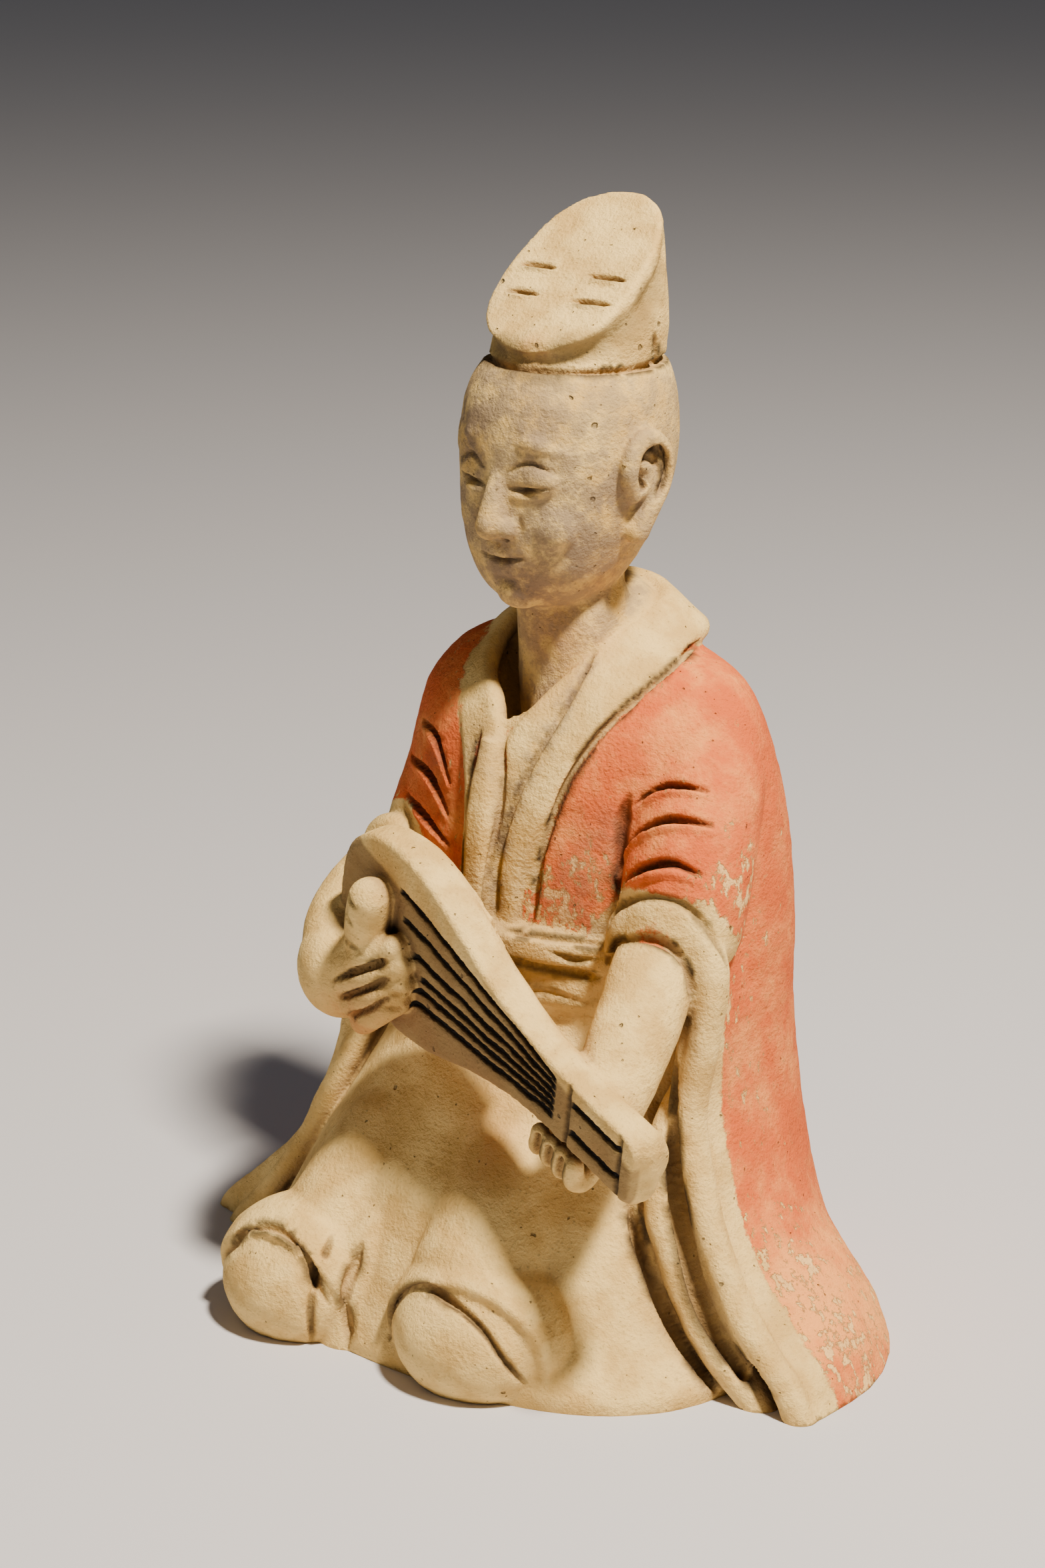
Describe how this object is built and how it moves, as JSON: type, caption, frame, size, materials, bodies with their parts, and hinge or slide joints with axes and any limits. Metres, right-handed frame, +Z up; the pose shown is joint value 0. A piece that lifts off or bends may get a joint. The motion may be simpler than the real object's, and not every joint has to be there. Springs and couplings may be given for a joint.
{
  "type": "pottery musician figure",
  "caption": "Small seated figure of fired clay in a wide-sleeved robe and flat cap, playing a pear-shaped lute held across the chest. It rests on its flat underside.",
  "frame": {"origin": "middle of the footprint of the figure, on the surface that it rests on", "axes": "+Z up, +X towards the figure's own left hand, -Y the way the figure faces"},
  "size_m": [0.1511, 0.1134, 0.2092],
  "materials": {
    "fired_clay": "unglazed buff clay with worn, flaking orange-red paint on the robe"
  },
  "bodies": {
    "root": {"musician_figure": "fired_clay"}
  },
  "joints": []
}
